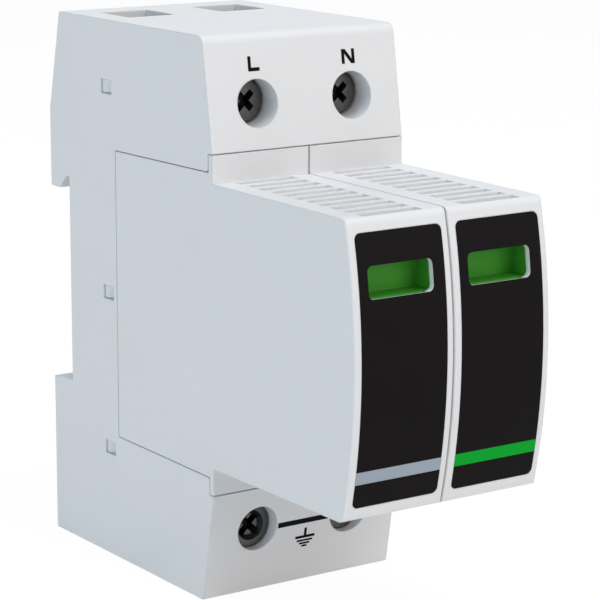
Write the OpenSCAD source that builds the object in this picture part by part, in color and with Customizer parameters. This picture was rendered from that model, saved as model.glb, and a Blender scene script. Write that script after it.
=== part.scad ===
// Two-pole surge arrester for a 35 mm rail: a U-shaped base with four screw terminals,
// and two plug-in cartridges, each with a status window in its curved front.
// Frame: X across the poles, +Y towards the rail, -Y to the front, +Z up.
// The origin lies on the rail's front plane, at the rail's centre line and mid-width.
// A name that ends in _d is a depth from the rail plane towards the front, so y = -depth.

/* [Base] */
// Width over both poles
body_w = 36; // [35:0.5:40]
// Height over both terminal blocks
body_h = 90; // [88:0.5:98]
// Depth of the spine that the cartridges plug into
bay_d = 15.2; // [14.6:0.1:17]
// Depth of the terminal blocks at their edge next to the cartridge
block_d = 44.45; // [43:0.1:48]
// Depth of the upper block at its top edge
top_edge_d = 41.7; // [40.5:0.1:44]
// Depth of the lower block at its bottom edge
bottom_edge_d = 41.4; // [40.2:0.1:44]
// Fillet on the upper block's outer front edge
block_r = 1.6; // [0.8:0.1:2.5]
// Fillet on the lower block's outer front edge
low_r = 0.4; // [0.2:0.1:2.5]
// Fillet where the bay meets the flange's seat
mouth_r = 0.6; // [0.3:0.1:1]
// Side walls of the base
side_t = 1.8; // [1.4:0.1:2]
// Other walls of the base
wall_t = 1.8; // [1.4:0.1:2]
// Wall between the poles
partition_t = 1.6; // [1.2:0.1:2.4]
// Front wall of the spine
spine_t = 1.65; // [1.3:0.05:1.9]

/* [Rail seat] */
// Height of the rail
rail_h = 35; // [34.5:0.1:36]
// Thickness of the rail's lips
rail_t = 1; // [0.8:0.1:1.5]
// Play of the rail between notch and ledge
rail_play = 0.1; // [0.05:0.05:0.4]
// How far the base reaches behind the rail plane
hook_y = 6.2; // [5.6:0.1:7.5]
// Reach of the hook and of the clip's tooth over the rail's lips
hook_reach = 2.25; // [1.6:0.05:2.8]
// Thickness of the hook's flat lip
lip_t = 3; // [2.4:0.1:3.8]
// Height where the rear starts to slope forward
slope_z = 28.6; // [26:0.2:34]
// How far the rear slopes forward up to the top
slope_run = 3.6; // [2:0.1:4.5]
// Fall of the lower ledge towards the rear
ledge_fall = 0.4; // [0.1:0.05:1]
// Walls beside the clip's runway
runway_t = 1.35; // [1:0.05:1.8]

/* [Rail clip] */
// Width of the clip's slider
clip_w = 12.4; // [10:0.2:14]
// Width added by each of the clip's runners
runner_w = 2; // [1.2:0.1:2.4]
// Thickness of the runners
runner_t = 1.4; // [1:0.1:1.8]
// Thickness of the clip
clip_t = 4.4; // [3.8:0.1:4.8]
// Thickness of the clip's tooth
tooth_t = 2; // [1.6:0.1:2.6]
// Thickness of the screwdriver slot in the clip's tail
pry_t = 1.3; // [1:0.1:1.6]
// Depth of the screwdriver slot
pry_l = 4; // [3:0.1:5]
// Travel that frees the rail
clip_travel = 3; // [2.6:0.1:3.6]
// Length of the spring when the clip is closed
clip_spring_l = 9.9; // [8:0.1:12]
// Outer diameter of the clip's spring
clip_spring_dia = 3.6; // [2.8:0.1:4]
// Height of the top of the spring's peg above the underside
peg_rise = 10.5; // [9.5:0.1:11.5]
// Height of the peg
peg_h = 2; // [1.4:0.1:2.6]
// How much narrower the peg is than its spring, on each side
peg_step = 0.3; // [0.1:0.05:0.6]

/* [Latches] */
// Heights of the cover's snap tongues
latch_z = [34.1, 0, -26.5];
// Depth of the tongue windows' front edge
latch_d = 14.2; // [13.6:0.1:14.8]
// Length of the tongue windows along the depth
latch_l = 3.3; // [2.6:0.1:4]
// Height of the tongue windows
latch_h = 2.3; // [1.8:0.1:3]
// Thickness of the tongues' arms
tongue_t = 1.1; // [0.8:0.1:1.2]
// How far the tongues' catches stay inside the side faces
catch_gap = 0.3; // [0.1:0.05:0.6]

/* [Terminals] */
// Distance of the screw axes from the top and bottom faces
term_edge = 10.8; // [10.4:0.1:11.6]
// Diameter of the screwdriver holes
hole_dia = 7.5; // [7.3:0.1:8.2]
// Wall of the screwdriver wells
well_t = 1.4; // [1:0.1:1.8]
// Thickness of the shoulder under the screw heads
shoulder_t = 1.6; // [1.2:0.1:2]
// Depth of the upper screw heads under their face
head_recess = 4.3; // [3.6:0.1:5.4]
// Depth of the lower screw heads under their face
low_recess = 2.2; // [1.6:0.1:5.4]
// Screw head diameter
head_dia = 7.1; // [6.4:0.1:7.2]
// Screw head height
head_h = 3.6; // [3:0.1:4.2]
// Depth of the dish in the screw heads
dish_deep = 0.8; // [0.3:0.1:1.2]
// Width of the rim round the dish
rim_t = 0.45; // [0.3:0.05:0.8]
// Width of the cross recess
cross_w = 1.2; // [0.8:0.1:1.4]
// Length of the cross recess
cross_l = 5.1; // [4:0.1:5.4]
// Depth of the cross recess
cross_deep = 1.6; // [1:0.1:1.8]
// Chamfer on the edges of the screws
screw_edge = 0.3; // [0.1:0.05:0.4]
// Screw shank diameter
shank_dia = 4.9; // [4:0.1:5.2]
// Width of the wire entries
wire_w = 8.8; // [7.6:0.1:9]
// Size of the wire entries along the depth
wire_l = 9.2; // [8:0.1:9.5]
// Wall of the wire entries' funnels
funnel_t = 1.2; // [0.9:0.1:1.4]
// Gap between a cage and its funnel
funnel_gap = 1.3; // [1:0.1:1.6]
// Height of the cages
cage_h = 7; // [6:0.2:10]
// Gap between the cages and the cover's snap tongues
cage_gap = 0.7; // [0.4:0.05:1]
// Side walls of the cages
cage_t = 1.1; // [0.9:0.1:1.3]
// Rear wall of the cages
clamp_t = 1.5; // [1.2:0.1:1.6]
// Threaded wall of the cages
nut_t = 3; // [2.2:0.1:4]
// Gap between the bar and the threaded wall of an open cage
nut_gap = 1.6; // [1.2:0.1:2.4]

/* [Conductors] */
// Thickness of the bars
bar_t = 1.4; // [1:0.1:1.5]
// Width of the bars
bar_w = 8.2; // [6.5:0.1:8.4]
// How far the bars reach past the cages
bar_over = 0.8; // [0.4:0.1:0.9]
// Gap between the contacts' shelf and the strip that links the earth terminals
link_gap = 1.5; // [1:0.1:3]
// Height of the strip that links the two earth terminals
link_h = 3.2; // [2:0.1:4]
// Height of the blades' middle above and below the rail's centre line
blade_z = 12; // [10.5:0.1:12.4]
// Width of the cartridge blades
blade_h = 8; // [6:0.1:8.6]
// Thickness of the cartridge blades
blade_t = 1.2; // [0.8:0.1:1.5]
// How far the blades reach out of the cartridge
blade_reach = 8.75; // [7:0.05:9.5]
// Length of the blades' thinned tips
blade_lead = 1; // [0.6:0.1:2]
// Sheet of the spring contacts
contact_t = 0.6; // [0.4:0.05:0.8]
// Length of the spring contacts along the blade
contact_l = 7.4; // [5.5:0.1:8]
// How far the shelf reaches past the spring contacts, at each end
contact_margin = 0.7; // [0.4:0.1:1]
// How far the contacts' mouths spread, on each side
contact_flare = 1.4; // [0.8:0.1:2]
// How far the contacts' roots spread, on each side
contact_root = 1.7; // [1:0.1:2.2]
// Height of the contacts' grip
grip_h = 1.8; // [1:0.1:3]
// How far the contacts' mouths reach past the blades
mouth_over = 0.6; // [0.2:0.1:1]
// Gap between the blades and the shelf above them
shelf_gap = 1; // [0.7:0.1:1.5]

/* [Cartridges] */
// Depth of the cartridges' curved front at its crown
nose_d = 82.1; // [76:0.1:88]
// Radius of the curved front
crown_r = 95; // [80:1:140]
// Height of the part in the bay, at its front end
plug_h = 48.4; // [47:0.1:50]
// Narrowing of the plug part towards its rear, on each side
plug_taper = 0.3; // [0.1:0.05:1]
// Height of the flange
flange_h = 54; // [52.8:0.1:55]
// Thickness of the flange
flange_t = 1.05; // [0.8:0.05:1.8]
// Height of the nose at the flange
nose_h = 45.2; // [44.2:0.1:46.4]
// Narrowing of the nose towards the front, on each side
nose_taper = 0.1; // [0.05:0.05:0.8]
// Fillet along the nose's side edges
side_r = 0.4; // [0.2:0.1:1.4]
// Fillet along the nose's top and bottom edges
nose_r = 1.3; // [0.6:0.1:1.6]
// Side walls of the cartridges
shell_t = 1.5; // [1.2:0.05:1.7]
// Top and bottom walls of the cartridges
deck_t = 2; // [1.6:0.05:2.4]
// Front wall of the cartridges
front_t = 1.15; // [1:0.05:1.8]
// Gap between the two cartridges
module_gap = 0.25; // [0.15:0.05:0.6]
// Grip grooves on each of the nose's two decks
groove_count = 11; // [5:1:11]
// Distance from groove to groove
groove_pitch = 3.15; // [2.6:0.05:3.2]
// Width of the grooves
groove_w = 1.9; // [1:0.05:2.2]
// Length of the grooves across the nose
groove_l = 10.8; // [8:0.1:13]
// Depth of the grooves
groove_deep = 1.2; // [0.4:0.05:1.2]
// Gap between the flange and the first groove
groove_gap = 0.75; // [0.2:0.05:0.9]

/* [Front film] */
// Width of the film
film_w = 15.55; // [14.2:0.05:15.8]
// Height of the film
film_h = 40.8; // [36:0.1:41.4]
// Corner radius of the film
film_r = 1; // [0.6:0.1:3]
// Thickness of the film
film_t = 0.15; // [0.1:0.01:0.25]
// Glue under the film
glue_t = 0.02; // [0.01:0.01:0.05]
// Width of the status window
window_w = 11.75; // [10:0.05:12.4]
// Height of the status window
window_h = 4.85; // [4:0.05:5.4]
// Corner radius of the status window
window_r = 0.9; // [0.4:0.1:1.5]
// Height of the status window's middle
window_z = 13.2; // [12.2:0.1:13.4]
// Offset of the status window from the film's middle
window_x = -0.2; // [-0.3:0.1:0.3]
// Slope of the window's sill, which falls inwards
sill_angle = 28; // [15:1:40]

/* [Cartridge insides] */
// Thickness of the closing plate
plate_t = 1.8; // [1.4:0.1:2.4]
// Edge length of the varistor block
core_l = 34; // [28:0.5:34.5]
// Thickness of the varistor block and of the gas tube
core_t = 5.5; // [4:0.1:5.8]
// Corner radius of the varistor block
core_r = 3; // [1:0.5:6]
// Gap between a cartridge's wall and the strip on its core
core_gap = 0.25; // [0.2:0.05:0.8]
// Diameter of the gas tube
tube_dia = 30; // [22:0.5:32]
// Thickness of the gas tube's end plates
cap_t = 0.6; // [0.4:0.1:1]
// How far the end plates lie inside the gas tube's rim
cap_step = 2; // [1:0.1:4]
// Depth of the core's rear edge
core_d = 21.5; // [20.5:0.1:24]
// Sheet of the strip soldered to the core
strip_t = 0.6; // [0.4:0.05:0.9]
// Size of the solder pad
pad_l = 5; // [3:0.5:7]
// Thickness of the solder pad
pad_t = 0.3; // [0.15:0.05:0.5]
// Gap between the closing plate and the upper blade's fold
fold_gap = 0.9; // [0.4:0.1:1.1]
// Depth of the lever's pivot
pivot_d = 46; // [43:0.2:50]
// Height of the lever's pivot
pivot_z = 7; // [6.2:0.1:7.4]
// Pivot pin diameter
pin_dia = 2.4; // [1.8:0.1:2.8]
// Wall round the pin's bores
boss_t = 1.5; // [1:0.1:1.8]
// How far the pin reaches past the lever
pin_over = 0.3; // [0.1:0.05:0.5]
// Thickness of the lever
lever_t = 2; // [1.4:0.1:2.3]
// Height of the lever's arm
lever_h = 3.2; // [2.6:0.1:3.6]
// How far the lever's underside lies below its pivot
lever_low = 2; // [1.6:0.1:2.2]
// Length of the lever's tail behind the pivot
tail_l = 12; // [10:0.2:16]
// How far the lever's tail reaches past its spring
tail_over = 0.8; // [0.4:0.1:1.2]
// Length of the slope from the lever's arm up to the tray
gusset_l = 8; // [4:0.5:10]
// How far the lever reaches under the tray
post_l = 1.6; // [1:0.1:2.4]
// Chamfer at the lever's front end
post_edge = 1; // [0.5:0.1:1.5]
// Depth of the flag's tray
tray_deep = 3.2; // [2:0.1:4]
// Walls of the flag's tray
tray_t = 0.8; // [0.6:0.05:0.9]
// Gap between the flag's tray and the cartridge's wall
tray_gap = 0.6; // [0.4:0.05:0.9]
// Gap between the flag's tray and the red plate
flag_gap = 1.8; // [1.7:0.1:2.4]
// How far the red plate's lower edge lies above the tray's
plate_rise = 1; // [0.6:0.1:1.6]
// How far the wall behind the red plate reaches past it
wall_over = 0.4; // [0.2:0.1:0.8]
// Wall of the carrier
carrier_t = 1.2; // [1:0.1:1.5]
// Gap between the carrier and the cartridge's wall
carrier_gap = 0.3; // [0.2:0.05:0.5]
// How far the carrier's ledges reach past the core
ledge_over = 0.5; // [0.2:0.1:1]
// Outer diameter of the trip spring
trip_spring_dia = 3.4; // [2.4:0.1:3.6]
// Length of the trip spring when it is loaded
trip_spring_l = 9; // [7:0.1:11]
// Wire of both springs
spring_wire = 0.5; // [0.35:0.05:0.6]

/* [Fits] */
// Gap between a cartridge and the base
seat_gap = 0.15; // [0.1:0.05:0.3]
// Gap between pieces that are clipped together
clip_gap = 0.1; // [0.06:0.01:0.15]
// Gap between a pin and the bore that turns on it
pin_gap = 0.05; // [0.03:0.01:0.08]
// Gap between sliding pieces
slide_gap = 0.2; // [0.15:0.05:0.3]
// Gap between a blade and its spring contact
blade_gap = 0.04; // [0.02:0.01:0.06]

/* [Hidden] */
$fn = 64;
// Steps of a turn and sides of the wire in the coil springs
COIL_STEPS = 12;
WIRE_SIDES = 6;
// A cutter stands this far past the face that it opens
CUT = 1;

// Base: halves and inner faces
half_w = body_w / 2;
half_h = body_h / 2;
in_x = half_w - side_t;
in_z = half_h - wall_t;
flange_z = flange_h / 2;
// Cartridge: width, middle, and the bay it plugs into
module_w = half_w - module_gap / 2;
pole_x = half_w - module_w / 2;
plug_rear_d = bay_d + seat_gap;
flange_d = block_d - flange_t;
plug_z0 = plug_h / 2 - plug_taper;
plug_z1 = plug_h / 2;
bay_z0 = plug_z0 + seat_gap;
bay_z1 = plug_z1 + seat_gap;
seat_d = flange_d - seat_gap;
// Rail seat: notch above, ledge below
notch_z = rail_h / 2 + rail_play;
ledge_z = -rail_h / 2;
lip_z = notch_z - hook_reach;
tooth_y = rail_t + slide_gap;
slope = slope_run / (half_h - slope_z);
// Cover
cover_t = wall_t;
cover_in_x = in_x - clip_gap;
cover_in_z = in_z - clip_gap;
pocket_y = tooth_y - slide_gap;
latch_in_d = latch_d - latch_l;
// Terminals
cage_in_w = wire_w - slide_gap;
cage_w = cage_in_w + 2 * cage_t;
term_x = cover_in_x - tongue_t - cage_gap - cage_w / 2;
term_z = half_h - term_edge;
bar_front_d = bay_d - spine_t - seat_gap;
bar_rear_d = bar_front_d - bar_t;
wire_front_d = bar_rear_d + slide_gap;
wire_rear_d = wire_front_d - wire_l;
nut_rear_d = bar_front_d + nut_gap;
cage_in_d = wire_rear_d - clip_gap;
cage_rear_d = cage_in_d - clamp_t;
tip_d = bar_front_d + 2 * seat_gap;
funnel_z = term_z + cage_h / 2 + funnel_gap;
// Spring contacts hang from a shelf at the end of each bar
shelf_z = blade_z + blade_h / 2 + shelf_gap;
shelf_rear_d = bar_front_d - contact_l - 2 * contact_margin;
// Clip: peg that holds the spring, and the window round it
peg_top_z = -half_h + peg_rise;
spring_top_z = peg_top_z + clip_spring_l;
// Cartridge insides, across the module from its middle
inner_u = module_w / 2 - shell_t;
core_u0 = -inner_u + core_gap + strip_t;
core_u1 = core_u0 + core_t;
blade_u0 = core_u1 + pad_t;
blade_u1 = blade_u0 + blade_t;
blade_u = blade_u0 + blade_t / 2;
lever_u0 = blade_u1 + slide_gap + (trip_spring_dia - lever_t) / 2;
lever_u1 = lever_u0 + lever_t;
carrier_u1 = inner_u - carrier_gap;
carrier_u0 = carrier_u1 - carrier_t;
core_mid_d = core_d + core_l / 2;
plate_d = plug_rear_d + clip_gap;
plate_in_d = plate_d + plate_t;
fold_d = plate_in_d + fold_gap;
crown_y = crown_r - nose_d;
film_floor_r = crown_r - film_t;
nose_z0 = nose_h / 2;
nose_slope = nose_taper / (nose_d - block_d);
groove_d = block_d + groove_w / 2 + groove_gap;
// Status flag: a tray just behind the front wall
tray_w = 2 * (inner_u - tray_gap);
tray_h = window_h + 2 * clip_gap + 2 * tray_t;
tray_r = crown_r - front_t - 3 * seat_gap;
tray_front_d = nose_d - front_t - 3 * seat_gap;
tray_back_d = tray_front_d - tray_deep - window_z * window_z / (2 * crown_r);
tray_rear_d = tray_back_d - tray_t;
tray_z0 = window_z - tray_h / 2;
tray_z1 = window_z + tray_h / 2;
status_d = tray_rear_d - flag_gap;
status_z0 = tray_z0 + plate_rise;
// Trip spring: under the lever's tail, on a shelf of the carrier
lever_z0 = pivot_z - lever_low;
spring_u = (lever_u0 + lever_u1) / 2;
spring_d = pivot_d - tail_l + trip_spring_dia / 2 + tail_over;
spring_foot_z = lever_z0 - trip_spring_l;

// Shapes that many pieces share

// A box between two corners
module box(lo, hi) {
    translate(lo) cube([for (i = [0:2]) hi[i] - lo[i]]);
}

// A box between two depths
module deep_box(x0, x1, d0, d1, z0, z1) {
    box([x0, -d1, z0], [x1, -d0, z1]);
}

// A side outline, drawn in Y and Z, made solid across X
module across(x0, x1) {
    translate([x0, 0, 0]) rotate([90, 0, 90]) linear_extrude(x1 - x0) children();
}

// A front outline, drawn in X and Z, made solid between two depths
module between(d0, d1) {
    translate([0, -d0, 0]) rotate([90, 0, 0]) linear_extrude(d1 - d0) children();
}

// A plan outline, drawn in X and Y, made solid between two heights
module upright(z0, z1) {
    translate([0, 0, z0]) linear_extrude(z1 - z0) children();
}

// A rod along X or along the depth
module rod_x(x0, x1, dia) {
    translate([x0, 0, 0]) rotate([0, 90, 0]) cylinder(h = x1 - x0, d = dia);
}

module rod_y(d0, d1, dia) {
    translate([0, -d0, 0]) rotate([90, 0, 0]) cylinder(h = d1 - d0, d = dia);
}

// Rectangle with round corners, about the origin
module round_rect(w, h, r) {
    square([w - 2 * r, h], center = true);
    square([w, h - 2 * r], center = true);
    for (sx = [-1, 1], sz = [-1, 1])
        translate([sx * (w / 2 - r), sz * (h / 2 - r)]) circle(r);
}

// Points of a strip of sheet that follows a folded line
function unit(v) = v / norm(v);
function left(v) = [-v[1], v[0]];
function heading(p, i) = unit(p[min(i + 1, len(p) - 1)] - p[min(i, len(p) - 2)]);
function miter(p, i) =
    let (a = left(heading(p, max(i - 1, 0))), m = unit(a + left(heading(p, i)))) m / (m * a);
function strip(p, t) =
    concat(p, [for (i = [len(p) - 1:-1:0]) p[i] + t * miter(p, i)]);

// Coil spring on the Z axis
module coil(dia, wire, length, turns) {
    steps = turns * COIL_STEPS;
    r = (dia - wire) / 2;
    rings = [for (i = [0:steps]) let (a = 360 * i / COIL_STEPS)
        for (j = [0:WIRE_SIDES - 1]) let (b = 360 * j / WIRE_SIDES, q = r + wire / 2 * cos(b))
            [q * cos(a), q * sin(a),
             wire / 2 + (length - wire) * i / steps + wire / 2 * sin(b)]];
    function at(i, j) = i * WIRE_SIDES + j % WIRE_SIDES;
    sides = [for (i = [0:steps - 1], j = [0:WIRE_SIDES - 1])
        [at(i, j), at(i, j + 1), at(i + 1, j + 1), at(i + 1, j)]];
    first = [for (j = [WIRE_SIDES - 1:-1:0]) at(0, j)];
    last = [for (j = [0:WIRE_SIDES - 1]) at(steps, j)];
    polyhedron(rings, concat(sides, [first, last]));
}

// Both poles, both ends, and each of the four terminals, from one drawn at +X and +Z
module both_poles() {
    children();
    mirror([1, 0, 0]) children();
}

module both_ends() {
    children();
    mirror([0, 0, 1]) children();
}

module at_terminal(side, end) {
    mirror([side < 0 ? 1 : 0, 0, 0]) mirror([0, 0, end < 0 ? 1 : 0])
        translate([term_x, 0, 0]) children();
}

// A blade's middle, across from the middle of its terminal
function blade_x(side) = pole_x - term_x + side * blade_u;

// Base housing

// The rear outline, from the top down to the bottom
function rear_y(z) = hook_y - slope * max(z - slope_z, 0);
rear_line = [
    [hook_y, slope_z], [hook_y, lip_z], [hook_y - lip_t, lip_z],
    [rail_t, notch_z], [0, notch_z], [0, ledge_z],
    [hook_y / 2, ledge_z], [hook_y, ledge_z - ledge_fall]
];

// A corner between two outline edges, rounded: the cutter is what lies outside the arc
module corner_cut(p, back, ahead, r) {
    u = unit(back - p);
    v = unit(ahead - p);
    half_angle = acos(u * v) / 2;
    centre = p + unit(u + v) * r / sin(half_angle);
    reach = r / tan(half_angle);
    difference() {
        polygon([p + u * reach, p - (u + v) * r, p + v * reach, centre]);
        translate(centre) circle(r);
    }
}

module base_outline() {
    top_front = [-top_edge_d, half_h];
    low_front = [-bottom_edge_d, -half_h];
    difference() {
        polygon(concat(
            [[rear_y(half_h), half_h]], rear_line, [[hook_y, -half_h], low_front],
            [for (s = [-1, 1], p = s < 0
                ? [[block_d, flange_z + seat_gap], [seat_d, flange_z + seat_gap],
                   [seat_d, bay_z1], [bay_d, bay_z0]]
                : [[bay_d, bay_z0], [seat_d, bay_z1],
                   [seat_d, flange_z + seat_gap], [block_d, flange_z + seat_gap]])
                [-p[0], s * p[1]]],
            [top_front]));
        corner_cut(top_front, [rear_y(half_h), half_h], [-block_d, flange_z], block_r);
        corner_cut(low_front, [hook_y, -half_h], [-block_d, -flange_z], low_r);
        for (s = [-1, 1])
            corner_cut([-seat_d, s * bay_z1], [-bay_d, s * bay_z0], [-seat_d, s * flange_z], mouth_r);
    }
}

// One pole's hollow, which the cover closes at the rear
module pole_hollow() {
    front = seat_d - wall_t;
    rear = hook_y + CUT;
    across(partition_t / 2, in_x) polygon([
        [rear, in_z], [-(top_edge_d - wall_t), in_z], [-front, bay_z1 + wall_t],
        [-(bay_d - spine_t), bay_z0 + wall_t], [-(bay_d - spine_t), -bay_z0 - wall_t],
        [-front, -bay_z1 - wall_t], [-(bottom_edge_d - wall_t), -in_z], [rear, -in_z]
    ]);
}

// Depths of a block's sloping face and of its screw head, on the screw axis
function edge_d(end) = end > 0 ? top_edge_d : bottom_edge_d;
function far_d(end) = max(block_d, edge_d(end)) + CUT;
function face_d(end) =
    block_d - (block_d - edge_d(end)) * (term_z - flange_z) / (half_h - flange_z);
function head_d(end) = face_d(end) - (end > 0 ? head_recess : low_recess);
function shank_d(end) = head_d(end) - head_h;

// Screwdriver well with the shoulder under the screw head
module well(end) {
    shoulder_d = shank_d(end) - clip_gap - shoulder_t;
    translate([0, 0, term_z]) rod_y(shoulder_d, far_d(end), hole_dia + 2 * well_t);
}

module well_bore(end) {
    translate([0, 0, term_z]) {
        rod_y(shank_d(end) - clip_gap, far_d(end), hole_dia);
        rod_y(tip_d, block_d, shank_dia + 3 * slide_gap);
    }
}

// Slot in the spine that lets a blade through to its contact
module blade_slot(side) {
    half_t = blade_t / 2 + 2 * slide_gap;
    half_z = blade_h / 2 + slide_gap;
    translate([blade_x(side), 0, blade_z])
        deep_box(-half_t, half_t, bay_d - spine_t - CUT, bay_d + CUT, -half_z, half_z);
}

// Funnel that leads a wire into the cage
module funnel() {
    deep_box(-wire_w / 2 - funnel_t, wire_w / 2 + funnel_t,
             wire_rear_d - funnel_t, wire_front_d + funnel_t, funnel_z, in_z + wall_t / 2);
}

module funnel_bore() {
    deep_box(-wire_w / 2, wire_w / 2, wire_rear_d, wire_front_d, term_z, half_h + CUT);
}

module base_housing() {
    color("gainsboro") difference() {
        union() {
            difference() {
                across(-half_w, half_w) base_outline();
                both_poles() pole_hollow();
                across(-in_x, in_x) cover_space();
            }
            intersection() {
                across(-half_w, half_w) base_outline();
                for (side = [-1, 1], end = [-1, 1]) at_terminal(side, end) well(end);
            }
            for (side = [-1, 1], end = [-1, 1]) at_terminal(side, end) funnel();
        }
        for (side = [-1, 1], end = [-1, 1]) at_terminal(side, end) {
            well_bore(end);
            funnel_bore();
            blade_slot(side);
        }
        both_poles() for (z = latch_z)
            deep_box(cover_in_x - tongue_t - clip_gap, half_w + CUT, latch_in_d, latch_d,
                     z - latch_h / 2, z + latch_h / 2);
        deep_box(-partition_t, partition_t, bar_rear_d - slide_gap, bar_front_d + slide_gap,
                 link_z() - link_h / 2 - slide_gap, link_z() + link_h / 2 + slide_gap);
        box([-clip_w / 2 - runner_w - slide_gap, pocket_y, -half_h - CUT],
            [clip_w / 2 + runner_w + slide_gap, hook_y + CUT, -in_z + CUT]);
    }
}

// Rear cover, with its snap tongues and the runway of the rail clip

// The cover's own side outline; the hollow behind it keeps its wall even
module cover_outline() {
    inner_y = -cover_t;
    low_y = pocket_y - cover_t;
    shelf = notch_z + cover_t;
    polygon(concat(
        [[rear_y(cover_in_z), cover_in_z]], rear_line, [[hook_y, -cover_in_z]],
        [[low_y, -cover_in_z], [low_y, ledge_z - cover_t], [inner_y, ledge_z - cover_t],
         [inner_y, shelf], [hook_y - cover_t, shelf], [hook_y - cover_t, slope_z],
         [rear_y(cover_in_z) - cover_t, cover_in_z]]));
}

// What the cover takes out of the wall between the poles
module cover_space() {
    rear = hook_y + CUT;
    space = cover_t + clip_gap;
    shelf = notch_z + space;
    polygon([[rear, in_z], [rear_y(in_z) - space, in_z], [hook_y - space, slope_z], [hook_y - space, shelf],
             [-space, shelf], [-space, -in_z], [rear, -in_z]]);
}

function cover_y(z) =
    z > notch_z + cover_t ? rear_y(z) - cover_t : z > ledge_z ? -cover_t : pocket_y - cover_t;

module tongue(z) {
    catch_x = half_w - catch_gap;
    root_x = cover_in_x - tongue_t / 2;
    front = latch_d - clip_gap;
    rear = latch_in_d + clip_gap;
    h = latch_h / 2 - clip_gap;
    deep_box(cover_in_x - tongue_t, cover_in_x, -cover_y(z) - cover_t / 2, front, z - h, z + h);
    upright(z - h, z + h) polygon([
        [root_x, -front], [cover_in_x, -front], [catch_x, -latch_in_d - latch_l / 3],
        [catch_x, -rear], [root_x, -rear]]);
}

// Runway of the clip: a slot with two undercut grooves, open downwards
module runway() {
    wide = clip_w / 2 + runner_w + slide_gap;
    narrow = clip_w / 2 + slide_gap;
    box([-wide, pocket_y, -half_h], [wide, tooth_y + runner_t + slide_gap, ledge_z - 4 * slide_gap]);
    box([-narrow, pocket_y, -half_h], [narrow, hook_y + CUT, ledge_z + CUT]);
}

module rear_cover() {
    recess_x = clip_w / 2 + runner_w + slide_gap + runway_t;
    peg_x = clip_spring_dia / 2 - peg_step;
    color("lightgray") {
        difference() {
            across(-cover_in_x, cover_in_x) cover_outline();
            runway();
            both_poles() box([recess_x, pocket_y - cover_t - CUT, -cover_in_z + cover_t],
                             [cover_in_x - tongue_t - CUT / 2, hook_y - cover_t, ledge_z - 2 * runway_t]);
        }
        box([-peg_x, pocket_y - cover_t / 2, peg_top_z - peg_h],
            [peg_x, tooth_y + clip_t - slide_gap, peg_top_z]);
        both_poles() for (z = latch_z) tongue(z);
    }
}

// Rail clip, drawn closed: a slider with a tooth over the rail's lower lip
module rail_clip() {
    tail_z = -half_h + slide_gap;
    tooth_z = ledge_z + hook_reach;
    rear = tooth_y + clip_t;
    middle = tooth_y + clip_t / 2;
    lead = hook_reach / 4;
    window_x = clip_spring_dia / 2 + slide_gap;
    color("dimgray") difference() {
        union() {
            across(-clip_w / 2, clip_w / 2) polygon([
                [tooth_y, tail_z], [tooth_y, tooth_z - lead], [tooth_y + lead, tooth_z],
                [tooth_y + tooth_t, tooth_z], [rear, ledge_z], [rear, tail_z]]);
            box([-clip_w / 2 - runner_w, tooth_y, tail_z],
                [clip_w / 2 + runner_w, tooth_y + runner_t, ledge_z - clip_travel]);
        }
        box([-window_x, tooth_y - CUT, peg_top_z - peg_h - slide_gap],
            [window_x, rear + CUT, spring_top_z]);
        box([-clip_w / 4, middle - pry_t / 2, tail_z - CUT],
            [clip_w / 4, middle + pry_t / 2, tail_z + pry_l]);
    }
}

module rail_clip_spring() {
    color("silver") translate([0, tooth_y + clip_t / 2, peg_top_z])
        coil(clip_spring_dia, spring_wire, clip_spring_l, 6);
}

// Conductors

function link_z() = -(shelf_z + bar_t + link_gap + link_h / 2);

// One folded bar: a leg through the cage, and a shelf for the spring contact
module bar_leg() {
    deep_box(-bar_w / 2, bar_w / 2, bar_rear_d, bar_front_d, shelf_z, term_z + cage_h / 2 + bar_over);
    deep_box(-bar_w / 2, bar_w / 2, shelf_rear_d, bar_front_d, shelf_z, shelf_z + bar_t);
}

module bar(side) {
    color("peru") at_terminal(side, 1) bar_leg();
}

module earth_bar() {
    color("peru") {
        for (side = [-1, 1]) at_terminal(side, -1) bar_leg();
        deep_box(-term_x, term_x, bar_rear_d, bar_front_d, link_z() - link_h / 2, link_z() + link_h / 2);
    }
}

// Spring contact: a strip folded like a tulip that pinches the blade
module contact(side, end) {
    grip = blade_t / 2 + blade_gap;
    half = [
        [grip + contact_flare, blade_z - blade_h / 2 - mouth_over], [grip, blade_z - grip_h / 2],
        [grip, blade_z + grip_h / 2], [grip + contact_root, shelf_z - contact_t]
    ];
    path = concat(half, [for (i = [len(half) - 1:-1:0]) [-half[i][0], half[i][1]]]);
    rear = shelf_rear_d + contact_margin;
    color("goldenrod") at_terminal(side, end) translate([blade_x(side), 0, 0])
        between(rear, rear + contact_l) polygon(strip(path, -contact_t));
}

// Terminal screw: a dished head with a cross recess, turning in its shouldered well
module screw(side, end) {
    shank_r = shank_dia / 2;
    head_r = head_dia / 2;
    neck = shank_d(end) - tip_d;
    top = head_d(end) - tip_d;
    floor_d = head_d(end) - dish_deep;
    color("dimgray") at_terminal(side, end) translate([0, 0, term_z]) difference() {
        translate([0, -tip_d, 0]) rotate([90, 0, 0]) rotate_extrude() polygon([
            [0, 0], [shank_r - screw_edge, 0], [shank_r, screw_edge], [shank_r, neck], [head_r, neck],
            [head_r, top - screw_edge], [head_r - screw_edge, top], [head_r - rim_t, top],
            [head_r - rim_t - screw_edge, top - dish_deep], [0, top - dish_deep]]);
        for (turn = [45, 135]) rotate([0, turn, 0])
            deep_box(-cross_l / 2, cross_l / 2, floor_d - cross_deep, floor_d + CUT,
                     -cross_w / 2, cross_w / 2);
    }
}

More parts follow.
